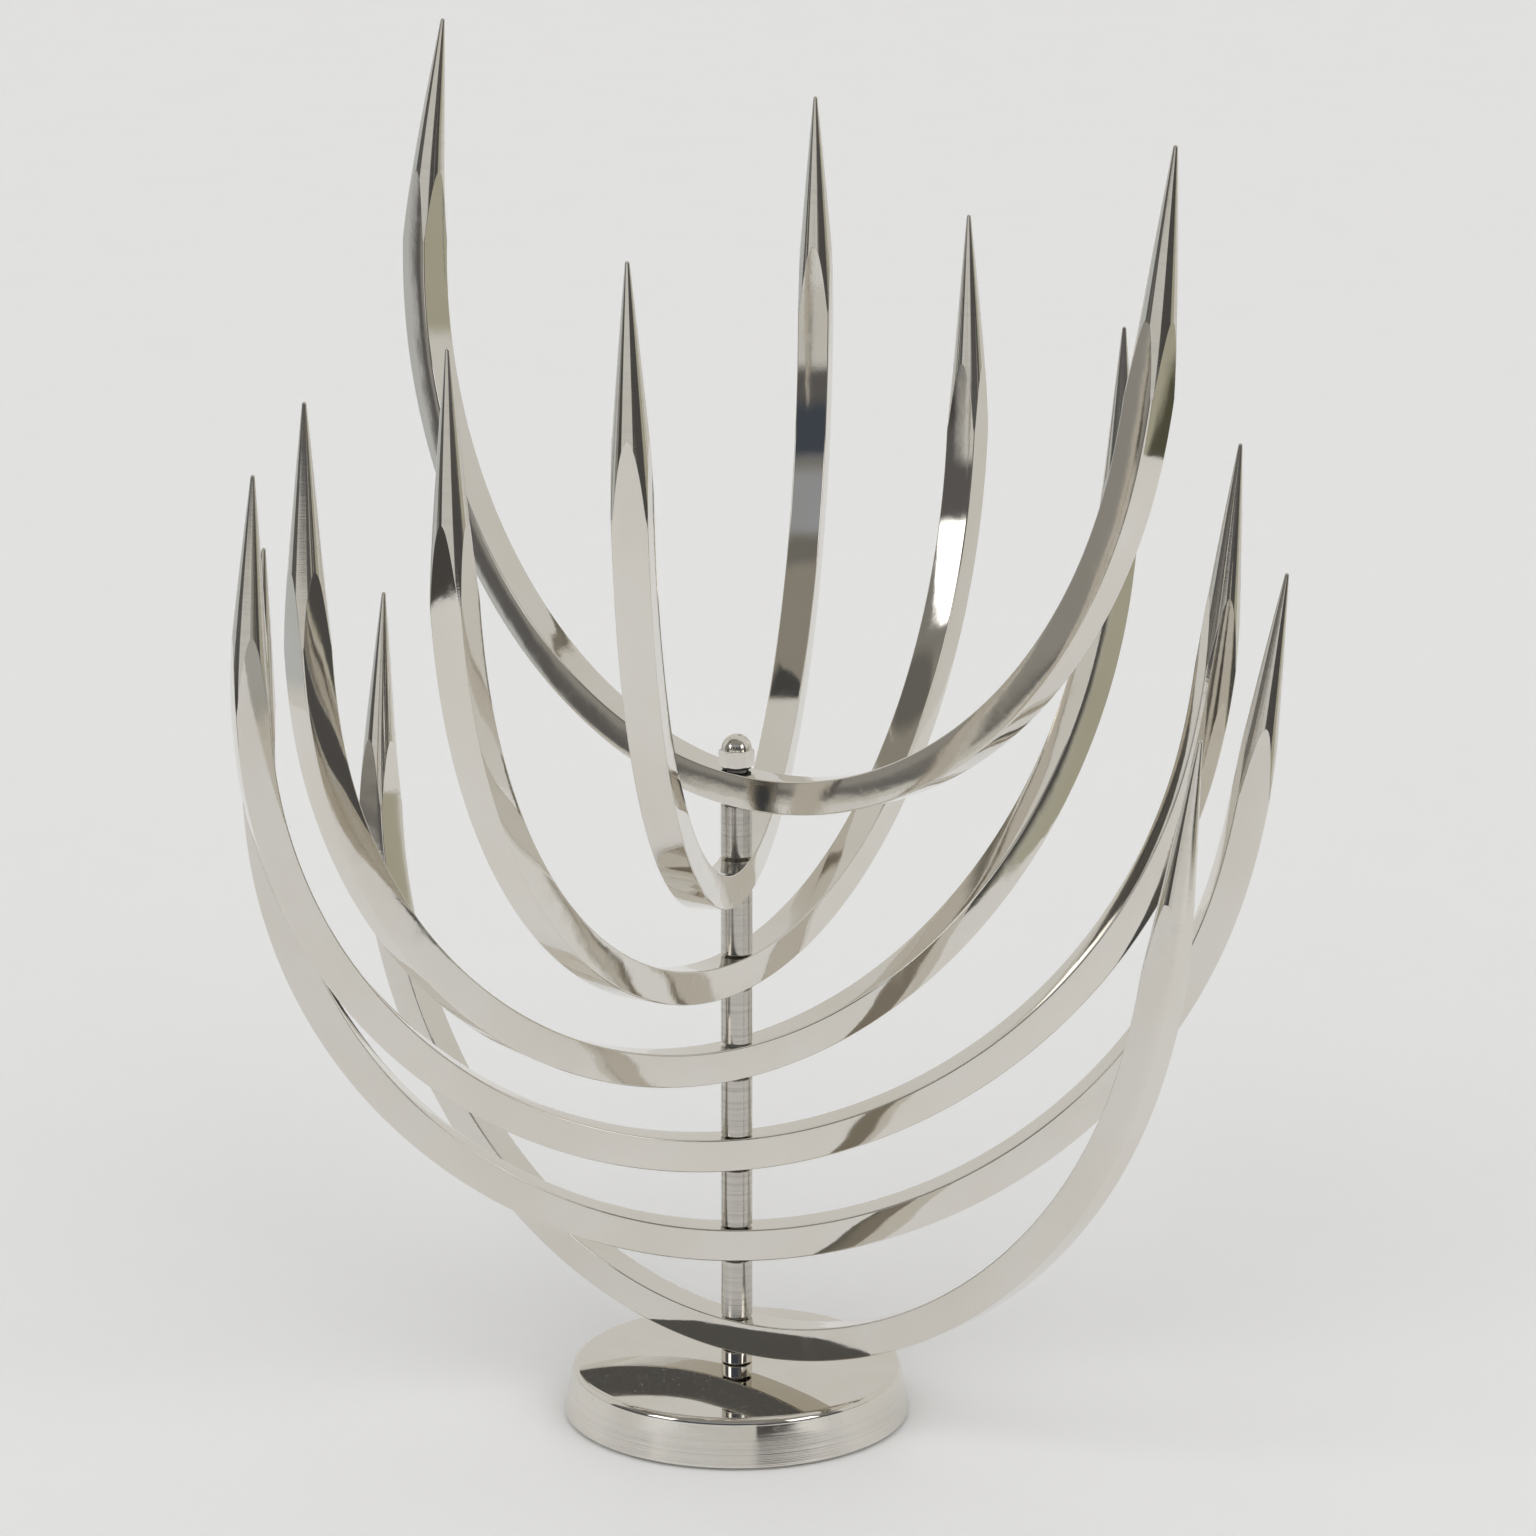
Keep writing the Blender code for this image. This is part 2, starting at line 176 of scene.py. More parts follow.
def revolve(name, profile, closed=True, sides=ROUND_SIDES, reach=None):
    """A (radius, height) profile turned round Z, a loop or a chain from pole to pole.

    reach(angle), where given, caps the radius at each angle, as on a hexagon nut.
    """
    bm = bmesh.new()
    rings = []
    for radius, height in with_supports(profile, closed):
        if radius == 0.0:
            rings.append([bm.verts.new((0.0, 0.0, height))] * sides)
            continue
        ring = []
        for i in range(sides):
            a = 2 * math.pi * i / sides
            r = min(radius, reach(a)) if reach else radius
            ring.append(bm.verts.new((r * math.cos(a), r * math.sin(a), height)))
        rings.append(ring)
    for ring, other in zip(rings, rings[1:] + (rings[:1] if closed else [])):
        for i in range(sides):
            j = (i + 1) % sides
            corners = list(dict.fromkeys((ring[i], ring[j], other[j], other[i])))
            if len(corners) > 2:
                bm.faces.new(corners)
    bmesh.ops.recalc_face_normals(bm, faces=bm.faces)
    mesh = bpy.data.meshes.new(name)
    bm.to_mesh(mesh)
    bm.free()
    mesh.shade_smooth()
    mesh.set_sharp_from_angle(angle=SHARP_ANGLE)
    return mesh


def round_edge(centre, radius, start, end, steps):
    """Points of a rounded edge in a (radius, height) profile, from and to angles in degrees."""
    points = []
    for i in range(steps + 1):
        a = math.radians(start + (end - start) * i / steps)
        points.append((centre[0] + radius * math.cos(a), centre[1] + radius * math.sin(a)))
    return points


# ------------------------------------------------------------------- the bars


def bend_radius(arm):
    """Radius of the even part of an arm's bend."""
    return (arm.bend_end + EASING_LENGTH / 2) / math.radians(arm.sweep)


def bend_angle(distance, arm):
    """How far an arm has bent at a distance from the hole, in radians."""
    eased = min(max((distance - arm.bend_end) / EASING_LENGTH, 0.0), 1.0)
    turned = min(distance, arm.bend_end) + EASING_LENGTH * (eased - eased**3 + eased**4 / 2)
    return turned / bend_radius(arm)


def point_radius(from_tip):
    """Radius of the ground point at a distance from its tip, and its slope.

    The outline is the parabola through the tip and the places where it meets the flats and
    the corners of the bar.
    """
    slope_1 = (HALF - TIP_RADIUS) / POINT_TO_FLATS
    slope_2 = (CORNER_RADIUS - TIP_RADIUS) / POINT_TO_CORNERS
    curve = (slope_2 - slope_1) / (POINT_TO_CORNERS - POINT_TO_FLATS)
    radius = TIP_RADIUS + from_tip * (slope_1 + curve * (from_tip - POINT_TO_FLATS))
    slope = slope_1 + curve * (2 * from_tip - POINT_TO_FLATS)
    return radius, slope


def direction(angle):
    """The unit vector at an angle."""
    return math.cos(angle), math.sin(angle)


def edge_reach(angle):
    """Reach of the bar's section at an angle in its first quarter turn, and the normal there."""
    flat_end = math.atan2(HALF - EDGE_RADIUS, HALF)
    if angle <= flat_end:
        return HALF / math.cos(angle), (1.0, 0.0)
    if angle >= math.pi / 2 - flat_end:
        return HALF / math.sin(angle), (0.0, 1.0)
    middle = (HALF - EDGE_RADIUS) * math.sqrt(2)
    off = angle - math.pi / 4
    reach = middle * math.cos(off) + math.sqrt(EDGE_RADIUS**2 - (middle * math.sin(off)) ** 2)
    x, y = reach * math.cos(angle), reach * math.sin(angle)
    return reach, ((x - HALF + EDGE_RADIUS) / EDGE_RADIUS, (y - HALF + EDGE_RADIUS) / EDGE_RADIUS)


def quarter(radius, slope):
    """A quarter of a section, from the middle of one flat to the middle of the next.

    The section is cut down to the radius of the ground point, which has this slope. Each row
    is (angle, reach, (normal across, normal up), normal along, 1.0 where it is ground).
    """
    half_flat = HALF - EDGE_RADIUS
    if radius < EDGE_REACH:
        reached = math.sqrt(max(radius**2 - HALF**2, 0.0))
        half_flat = max(min(half_flat, reached - GROUND_LIP), SMALLEST_HALF_FLAT)
    flat = []
    for i in range(HALF_FLAT_STEPS + 1):
        y = half_flat * i / HALF_FLAT_STEPS
        a = math.atan2(y, HALF)
        if radius <= HALF:
            flat.append((a, radius, direction(a), slope, 1.0))
        else:
            flat.append((a, HALF / math.cos(a), direction(CROWN * (y / HALF) ** 2), 0.0, 0.0))

    first = math.atan2(half_flat, HALF)
    span = math.pi / 2 - 2 * first
    lip = CORNER_LIP
    if radius < EDGE_REACH:
        lip = min(2 * GROUND_LIP / HALF / span, CORNER_LIP)
    corner = []
    for i in range(CORNER_POINTS):
        a = first + span * (lip + (1 - 2 * lip) * i / (CORNER_POINTS - 1))
        reach, normal = edge_reach(a)
        if radius < reach:
            corner.append((a, radius, direction(a), slope, 1.0))
        else:
            corner.append((a, reach, normal, 0.0, 0.0))

    next_flat = [
        (math.pi / 2 - a, reach, normal[::-1], tilt, ground)
        for a, reach, normal, tilt, ground in flat[:0:-1]
    ]
    return flat + corner + next_flat


def section(radius, slope):
    """All points round a section: (across, up, their normals, normal along, ground)."""
    rows = []
    for turn in range(4):
        c, s = round(math.cos(turn * math.pi / 2)), round(math.sin(turn * math.pi / 2))
        for a, reach, (nx, ny), tilt, ground in quarter(radius, slope):
            x, y = reach * math.cos(a), reach * math.sin(a)
            place = c * x - s * y, s * x + c * y
            normal = c * nx - s * ny, s * nx + c * ny
            rows.append((*place, *normal, tilt, ground))
    return np.array(rows)


def arm_stations(side, arm, length):
    """(x, z, bend, radius, slope, distance) of every section from the hole to the tip."""
    bent_length = length - POINT_TO_CORNERS
    count = round(bent_length / BEND_SPACING)
    stops = [bent_length * (i + 0.5) / count for i in range(count)]
    count = round(POINT_TO_CORNERS / POINT_SPACING)
    stops += [length - POINT_TO_CORNERS * (1 - i / count) for i in range(count)]
    stops = [(stop, None) for stop in stops if stop < length - TIP_CLEARANCE]
    for turn in TIP_ANGLES:
        stops.append((length - TIP_ROUNDING + TIP_ROUNDING * math.sin(math.radians(turn)), turn))

    x = z = walked = 0.0
    rows = []
    for stop, turn in stops:
        steps = max(1, round((stop - walked) / WALK_STEP))
        step = (stop - walked) / steps
        for _ in range(steps):
            middle = bend_angle(walked + step / 2, arm)
            x += step * math.cos(middle)
            z += step * math.sin(middle)
            walked += step
        radius, slope = point_radius(max(length - stop, 0.0))
        if stop <= bent_length:
            radius, slope = NOT_GROUND, 0.0
        if turn is not None:
            radius = point_radius(TIP_ROUNDING)[0] * math.cos(math.radians(turn))
            slope = max(slope, math.tan(math.radians(turn)))
        rows.append((side * x, z, side * bend_angle(stop, arm), radius, slope, stop))
    return rows


def bar_mesh(name, arc):
    """One bar in its own plane, along X with both arms bent up, before it is drilled.

    With the mesh come its vertices' places, exact normals, distances along the bar, and
    whether they are ground.
    """
    verts, normals, along, ground, faces = [], [], [], [], []
    firsts = []
    for side, arm in ((-1, arc.left), (1, arc.right)):
        length = HALF_LENGTH + side * arc.hole_offset
        rings = []
        for x, z, bend, radius, slope, distance in arm_stations(side, arm, length):
            rows = section(radius, slope)
            centre = np.array((x, 0.0, z))
            across = np.array((0.0, 1.0, 0.0))
            inward = np.array((-math.sin(bend), 0.0, math.cos(bend)))
            ahead = side * np.array((math.cos(bend), 0.0, math.sin(bend)))
            rings.append(list(range(len(verts), len(verts) + len(rows))))
            for u, v, normal_u, normal_v, tilt, is_ground in rows:
                normal = normal_u * across + normal_v * inward + tilt * ahead
                verts.append(centre + u * across + v * inward)
                normals.append(normal / np.linalg.norm(normal))
                along.append(side * distance)
                ground.append(is_ground)
        for ring, other in zip(rings, rings[1:]):
            for i in range(len(ring)):
                j = (i + 1) % len(ring)
                quad = (ring[i], ring[j], other[j], other[i])
                faces.append(quad if side < 0 else quad[::-1])
        firsts.append(rings[0])
        faces.append(tuple(rings[-1] if side < 0 else rings[-1][::-1]))
    left, right = firsts
    for i in range(len(left)):
        j = (i + 1) % len(left)
        faces.append((right[i], right[j], left[j], left[i]))
    mesh = bpy.data.meshes.new(name)
    mesh.from_pydata([tuple(v) for v in verts], [], faces)
    mesh.update()
    return mesh, np.array(verts), np.array(normals), np.array(along), np.array(ground)


def drilled_mesh(bar):
    """The bar's mesh with the rod's hole cut through it."""
    drill_mesh = bpy.data.meshes.new("drill")
    bm = bmesh.new()
    bmesh.ops.create_cone(
        bm,
        cap_ends=True,
        segments=DRILL_SIDES,
        radius1=BAR_HOLE_RADIUS,
        radius2=BAR_HOLE_RADIUS,
        depth=2 * BAR,
    )
    bm.to_mesh(drill_mesh)
    bm.free()
    drill = bpy.data.objects.new("drill", drill_mesh)
    bpy.context.scene.collection.objects.link(drill)
    cut = bar.modifiers.new("hole", "BOOLEAN")
    cut.operation = "DIFFERENCE"
    cut.solver = "EXACT"
    cut.object = drill
    bpy.context.view_layer.update()
    evaluated = bar.evaluated_get(bpy.context.evaluated_depsgraph_get())
    drilled = bpy.data.meshes.new_from_object(evaluated)
    bar.modifiers.clear()
    bpy.data.objects.remove(drill)
    return drilled


def make_bar(number, arc, material):
    """One bar in its place, with its hole, exact normals, and what its finish needs."""
    name = f"bar_{number}"
    mesh, verts, normals, along, ground = bar_mesh(name, arc)
    bar = new_object(name, mesh, material)
    drilled = drilled_mesh(bar)
    bar.data = drilled

    # Vertices that the drill left in place keep their exact normals; the hole's wall is flat.
    tree = KDTree(len(verts))
    for i, v in enumerate(verts):
        tree.insert(v, i)
    tree.balance()
    nearest = [tree.find(v.co) for v in drilled.vertices]
    known = [index if gap < SAME_POINT else None for _, index, gap in nearest]
    loop_normals = np.zeros((len(drilled.loops), 3))
    for polygon in drilled.polygons:
        for loop in polygon.loop_indices:
            index = known[drilled.loops[loop].vertex_index]
            loop_normals[loop] = polygon.normal if index is None else normals[index]
    for attribute, values in (("along", along), ("ground", ground)):
        layer = drilled.attributes.new(attribute, "FLOAT", "POINT")
        values = [values[index] for _, index, _ in nearest]
        layer.data.foreach_set("value", np.array(values, np.float32))

    loose = Euler((math.radians(arc.lean), math.radians(-arc.rock), 0.0), "ZYX")
    turn = Matrix.Rotation(math.radians(arc.turn), 4, "Z")
    lift = Matrix.Translation((0.0, 0.0, arc.height))
    place = lift @ turn @ loose.to_matrix().to_4x4()
    drilled.shade_smooth()
    drilled.transform(place)
    placed_normals = loop_normals @ np.array(place.to_3x3()).T
    drilled.normals_split_custom_set(placed_normals.tolist())
    drilled.update()
    stand_for(bar, f"arc_{number}")


# -------------------------------------------------------------------- materials

STEEL, STEEL_WARM = (0.772, 0.746, 0.695), (0.745, 0.71, 0.645)
STEEL_GROUND, STEEL_TURNED, STEEL_PIT = (0.56, 0.55, 0.54), (0.52, 0.51, 0.50), (0.35, 0.34, 0.33)
TUBE_LIGHT, TUBE_DARK, TUBE_WORN = (0.60, 0.575, 0.53), (0.47, 0.45, 0.415), (0.68, 0.66, 0.62)
ROD_LIGHT, ROD_DARK = (0.56, 0.56, 0.55), (0.42, 0.41, 0.40)
NYLON_BLACK, NYLON_WORN = (0.012, 0.012, 0.013), (0.045, 0.044, 0.043)
FELT_DARK, FELT_LIGHT = (0.02, 0.02, 0.02), (0.075, 0.073, 0.07)
PAPER_SHADE = 0.975
THREAD_PITCH = 0.0007
TURNED_BELOW, TURNED_FADE = 0.0065, 0.0125  # heights on the base's side


class Graph:
    """Short calls for building a material's or the world's nodes."""

    def __init__(self, tree):
        self.tree = tree

    def node(self, kind, *values, **settings):
        """A node with its settings, and its first inputs set or linked in order."""
        made = self.tree.nodes.new(kind)
        for key, value in settings.items():
            setattr(made, key, value)
        for socket, value in zip(made.inputs, values):
            if value is None:
                continue
            if isinstance(value, bpy.types.NodeSocket):
                self.tree.links.new(value, socket)
            else:
                socket.default_value = value
        return made

    def math(self, operation, *values, clamp=False):
        made = self.node("ShaderNodeMath", *values, operation=operation, use_clamp=clamp)
        return made.outputs[0]

    def add(self, a, b):
        return self.math("ADD", a, b)

    def times(self, a, b):
        return self.math("MULTIPLY", a, b)

    def step(self, value, low, high):
        """0 below low, 1 above high, smooth between."""
        made = self.node(
            "ShaderNodeMapRange", value, low, high, 0.0, 1.0, interpolation_type="SMOOTHSTEP"
        )
        return made.outputs[0]

    def mix(self, share, a, b):
        """Colour a turned into colour b by a share from 0 to 1."""
        made = self.node("ShaderNodeMix", data_type="RGBA")
        for name, value in (("Factor_Float", share), ("A_Color", a), ("B_Color", b)):
            socket = next(x for x in made.inputs if x.identifier == name)
            if isinstance(value, bpy.types.NodeSocket):
                self.tree.links.new(value, socket)
            else:
                socket.default_value = (*value, 1.0) if isinstance(value, tuple) else value
        return next(x for x in made.outputs if x.identifier == "Result_Color")

    def noise(self, where, scale, detail=2.0, roughness=0.5):
        made = self.node("ShaderNodeTexNoise")
        self.tree.links.new(where, made.inputs["Vector"])
        made.inputs["Scale"].default_value = scale
        made.inputs["Detail"].default_value = detail
        made.inputs["Roughness"].default_value = roughness
        return made.outputs[0]

    def lines(self, along, scale, detail):
        """Fine lines at right angles to a length, as grinding or turning leaves."""
        made = self.node("ShaderNodeTexNoise", noise_dimensions="1D")
        self.tree.links.new(along, made.inputs["W"])
        made.inputs["Scale"].default_value = scale
        made.inputs["Detail"].default_value = detail
        made.inputs["Roughness"].default_value = 0.7
        return made.outputs[0]

    def bump(self, height, distance, under=None, strength=1.0):
        """A normal from a height, on top of the normal of another bump."""
        made = self.node("ShaderNodeBump")
        made.inputs["Strength"].default_value = strength
        made.inputs["Distance"].default_value = distance
        self.tree.links.new(height, made.inputs["Height"])
        if under is not None:
            self.tree.links.new(under, made.inputs["Normal"])
        return made.outputs[0]


def new_material(name):
    """A material, its graph, its shader, and the place of a point on the piece."""
    material = bpy.data.materials.new(name)
    material.use_nodes = True
    g = Graph(material.node_tree)
    place = g.node("ShaderNodeTexCoord").outputs["Object"]
    return material, g, material.node_tree.nodes["Principled BSDF"], place


def connect(g, shader, **sockets):
    """Sets or links shader sockets, given by name with _ for a space."""
    for name, value in sockets.items():
        socket = shader.inputs[name.replace("_", " ")]
        if isinstance(value, bpy.types.NodeSocket):
            g.tree.links.new(value, socket)
        else:
            socket.default_value = value


def polished_steel():
    """The bars: buffed, a little wavy, smudged, with fine grinding rings on the points."""
    material, g, shader, place = new_material("polished_steel_finish")
    along = g.node("ShaderNodeAttribute", attribute_name="along").outputs["Fac"]
    ground = g.node("ShaderNodeAttribute", attribute_name="ground").outputs["Fac"]
    fine_rings = g.lines(along, scale=2200.0, detail=4.0)
    broad_rings = g.lines(along, scale=300.0, detail=2.0)
    patches = g.noise(place, scale=28.0, detail=3.0)
    smudges = g.step(g.noise(place, scale=75.0, detail=5.0, roughness=0.62), 0.54, 0.76)
    grain = g.noise(place, scale=900.0, detail=3.0, roughness=0.6)

    dark_rings = g.times(ground, g.step(broad_rings, 0.45, 0.75))
    colour = g.mix(g.step(patches, 0.35, 0.72), STEEL, STEEL_WARM)
    colour = g.mix(g.times(dark_rings, 0.15), colour, STEEL_GROUND)

    rough = g.add(g.times(patches, 0.05), g.times(smudges, 0.07))
    rough = g.add(rough, g.times(ground, g.times(fine_rings, 0.05)))
    rough = g.add(rough, 0.025)

    normal = g.bump(g.noise(place, scale=17.0, detail=1.0), 0.00045)
    normal = g.bump(g.noise(place, scale=62.0, detail=2.0), 0.00005, under=normal)
    normal = g.bump(grain, 0.000004, under=normal)
    normal = g.bump(g.times(fine_rings, ground), 0.000006, under=normal)
    connect(g, shader, Base_Color=colour, Metallic=1.0, Roughness=rough, Normal=normal)
    return material


def brushed_steel():
    """The sleeves: tube brushed round and round."""
    material, g, shader, place = new_material("brushed_steel_finish")
    height = g.node("ShaderNodeSeparateXYZ", place).outputs[2]
    fine = g.lines(height, scale=5200.0, detail=4.0)
    broad = g.lines(height, scale=700.0, detail=2.0)
    patches = g.noise(place, scale=120.0, detail=3.0)
    squeezed = g.node("ShaderNodeMapping", place, None, None, (1.0, 1.0, 14.0)).outputs[0]
    scratches = g.noise(squeezed, scale=500.0, detail=3.0, roughness=0.7)

    colour = g.mix(g.step(broad, 0.35, 0.75), TUBE_LIGHT, TUBE_DARK)
    colour = g.mix(g.times(g.step(patches, 0.4, 0.8), 0.25), colour, TUBE_WORN)
    rough = g.add(g.times(fine, 0.10), g.times(scratches, 0.06))
    rough = g.add(rough, 0.07)
    normal = g.bump(g.add(fine, g.times(scratches, 0.6)), 0.000014)
    connect(g, shader, Base_Color=colour, Metallic=1.0, Roughness=rough, Normal=normal)
    return material


def turned_steel():
    """The base: polished on top with small pits, fine turning lines low on its side."""
    material, g, shader, place = new_material("turned_steel_finish")
    x, y, height = g.node("ShaderNodeSeparateXYZ", place).outputs
    radius = g.math("SQRT", g.add(g.times(x, x), g.times(y, y)))
    run = g.math("SUBTRACT", radius, height)
    fine = g.lines(run, scale=3400.0, detail=4.0)
    broad = g.lines(run, scale=650.0, detail=3.0)
    low_side = g.math("SUBTRACT", 1.0, g.step(height, TURNED_BELOW, TURNED_FADE), clamp=True)
    pits = g.step(g.noise(place, scale=1500.0), 0.71, 0.76)
    patches = g.noise(place, scale=45.0, detail=4.0)
    smudges = g.step(g.noise(place, scale=110.0, detail=5.0, roughness=0.65), 0.53, 0.78)

    lines = g.times(low_side, g.step(broad, 0.42, 0.70))
    colour = g.mix(g.step(patches, 0.35, 0.75), STEEL, STEEL_WARM)
    colour = g.mix(g.times(lines, 0.28), colour, STEEL_TURNED)
    colour = g.mix(g.times(pits, 0.5), colour, STEEL_PIT)

    rough = g.times(low_side, g.add(0.02, g.times(fine, 0.08)))
    rough = g.add(g.times(smudges, 0.06), rough)
    rough = g.add(rough, 0.035)

    normal = g.bump(g.noise(place, scale=26.0, detail=1.0), 0.00018)
    normal = g.bump(g.math("SUBTRACT", 1.0, pits), 0.00003, under=normal)
    turning = g.times(g.add(fine, broad), g.add(0.05, low_side))
    normal = g.bump(turning, 0.000008, under=normal)
    connect(g, shader, Base_Color=colour, Metallic=1.0, Roughness=rough, Normal=normal)
    return material


def plain_steel():
    """The rod with its thread lines, and the nut and washer under the base."""
    material, g, shader, place = new_material("plain_steel_finish")
    height = g.node("ShaderNodeSeparateXYZ", place).outputs[2]
    thread = g.math("SINE", g.times(height, 2 * math.pi / THREAD_PITCH))
    blotches = g.noise(place, scale=260.0, detail=4.0, roughness=0.6)
    grain = g.noise(place, scale=2400.0, detail=3.0)
    colour = g.mix(g.step(blotches, 0.3, 0.7), ROD_LIGHT, ROD_DARK)
    rough = g.add(0.26, g.times(blotches, 0.22))
    normal = g.bump(grain, 0.00001, under=g.bump(thread, 0.00006, strength=0.4))
    connect(g, shader, Base_Color=colour, Metallic=1.0, Roughness=rough, Normal=normal)
    return material


def black_nylon():
    """The washer under the domed nut: matt, rubbed paler in places."""
    material, g, shader, place = new_material("black_nylon_finish")
    grain = g.noise(place, scale=3000.0, detail=4.0, roughness=0.6)
    wear = g.step(g.noise(place, scale=420.0, detail=3.0), 0.5, 0.8)
    colour = g.mix(g.times(wear, 0.6), NYLON_BLACK, NYLON_WORN)
    rough = g.add(0.42, g.times(grain, 0.25))
    connect(g, shader, Base_Color=colour, Roughness=rough, Normal=g.bump(grain, 0.00003))
    return material


def felt():
    """The pad under the base: dark fibres in clumps."""
    material, g, shader, place = new_material("felt_finish")
    fibres = g.noise(place, scale=2600.0, detail=6.0, roughness=0.75)
    clumps = g.noise(place, scale=240.0, detail=3.0)
    mottle = g.step(g.add(g.times(fibres, 0.6), g.times(clumps, 0.4)), 0.35, 0.65)
    colour = g.mix(mottle, FELT_DARK, FELT_LIGHT)
    connect(g, shader, Base_Color=colour, Roughness=0.95, Normal=g.bump(fibres, 0.00025))
    connect(g, shader, Sheen_Weight=0.4, Sheen_Roughness=0.5)
    return material


def paper(name, colour):
    """The pale sweep under the sculpture: faint mottling and a soft sheen."""
    material, g, shader, place = new_material(name)
    mottle = g.noise(place, scale=9.0, detail=4.0, roughness=0.6)
    tooth = g.noise(place, scale=700.0, detail=3.0, roughness=0.6)
    darker = tuple(PAPER_SHADE * c for c in colour)
    rough = g.add(0.42, g.times(g.noise(place, scale=60.0, detail=4.0), 0.14))
    connect(g, shader, Base_Color=g.mix(mottle, colour, darker), Roughness=rough)
    connect(g, shader, Specular_IOR_Level=0.35, Normal=g.bump(tooth, 0.00006))
    return material


MIRROR = polished_steel()
BRUSHED = brushed_steel()
TURNED = turned_steel()
PLAIN = plain_steel()
NYLON = black_nylon()
FELT = felt()

# ----------------------------------------------------------------------- pieces


def ends_of(node):
    """Heights of a CAD node's underside and top."""
    low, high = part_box(node)
    return low[2], high[2]


def make_tube(node, name, material, size, height=None):
    """A ring or sleeve with rounded outer edges, as high as its node unless height says.

    size is its outer radius, its bore's radius and the radius of its edges.
    """
    outer, bore, edge = size
    low, high = ends_of(node)
    if height:
        high = low + height
    profile = [(bore, low)]
    profile += round_edge((outer - edge, low + edge), edge, -90, 0, TUBE_EDGE_STEPS)
    profile += round_edge((outer - edge, high - edge), edge, 0, 90, TUBE_EDGE_STEPS)
    profile += [(bore, high)]
    tube = new_object(name, revolve(name, profile), material)
    stand_for(tube, node)


def make_domed_nut():
    """A hexagon nut with its corners chamfered below and above, closed by a dome."""
    low = ends_of("cap_washer")[0] + CAP_WASHER_HEIGHT + NUT_PLAY
    node_low, top = ends_of("domed_nut")
    bore_top = node_low + NUT_BORE_DEPTH
    high = top - DOME_HEIGHT
    flat, corner = DOME_RADIUS + DOME_STEP, NUT_FLATS / math.sqrt(3)
    slope = math.tan(NUT_CHAMFER)

    def hexagon(angle):
        off = (angle % (math.pi / 3)) - math.pi / 6
        return NUT_FLATS / 2 / math.cos(off)

    profile = [(0.0, top)]
    for i in range(1, DOME_STEPS + 1):
        a = math.radians(90 * (1 - i / DOME_STEPS))
        profile.append((DOME_RADIUS * math.cos(a), high + DOME_HEIGHT * math.sin(a)))
    chamfer = [flat + (corner - flat) * i / CHAMFER_STEPS for i in range(CHAMFER_STEPS + 1)]
    profile += [(r, high - (r - flat) * slope) for r in chamfer]
    profile += [(r, low + (r - flat) * slope) for r in reversed(chamfer)]
    profile += [(ROD_BORE, low), (ROD_BORE, bore_top), (0.0, bore_top)]
    mesh = revolve("cap_nut", profile, closed=False, reach=hexagon)
    nut = new_object("cap_nut", mesh, MIRROR)
    stand_for(nut, "domed_nut")


def make_base():
    """The turned foot: tapered side, rounded shoulder, and the recess for the lower nut."""
    low, high = ends_of("base")
    lip = BASE_EDGE_ROUNDING
    recess_top = low + RECESS_DEPTH
    foot = (BASE_FOOT_RADIUS - FOOT_EDGE, low + FOOT_EDGE)
    shoulder = (BASE_SHOULDER_RADIUS - lip, high - lip)
    profile = [(ROD_BORE, recess_top), (RECESS_RADIUS, recess_top), (RECESS_RADIUS, low)]
    profile += round_edge(foot, FOOT_EDGE, -90, 0, FOOT_EDGE_STEPS)
    profile += round_edge(shoulder, lip, SHOULDER_START, 90, SHOULDER_STEPS)
    profile += [(ROD_BORE, high)]
    base = new_object("turned_base", revolve("turned_base", profile, sides=BASE_SIDES), TURNED)
    stand_for(base, "base")


for number, arc in enumerate(ARCS, 1):
    make_bar(number, arc, MIRROR)

sleeve = (SLEEVE_RADIUS, ROD_BORE, SLEEVE_EDGE)
washer = (CAP_WASHER_RADIUS, ROD_BORE, CAP_WASHER_EDGE)
for number in range(1, len(ARCS)):
    make_tube(f"sleeve_{number}", f"tube_{number}", BRUSHED, sleeve)
make_tube("foot_sleeve", "foot_tube", MIRROR, sleeve)
make_tube("cap_washer", "cap_ring", NYLON, washer, CAP_WASHER_HEIGHT)
make_domed_nut()
make_base()

for node, material in (
    ("central_rod", PLAIN),
    ("base_nut", PLAIN),
    ("base_washer", PLAIN),
    ("base_pad", FELT),
):
    kept = frame["nodes"][node].data
    kept.materials.clear()
    kept.materials.append(material)

# ---------------------------------------------------------------------- camera

CAMERA_AWAY = 1.43194
CAMERA_HEIGHT = 0.54787
PITCH, YAW, ROLL = 0.23671, 0.00655, 0.00095  # radians: down, to the right, right side up
SENSOR_WIDTH = 36.0
FOCAL_SHARE = 4947.14 / 1536  # focal length as a share of the picture's width


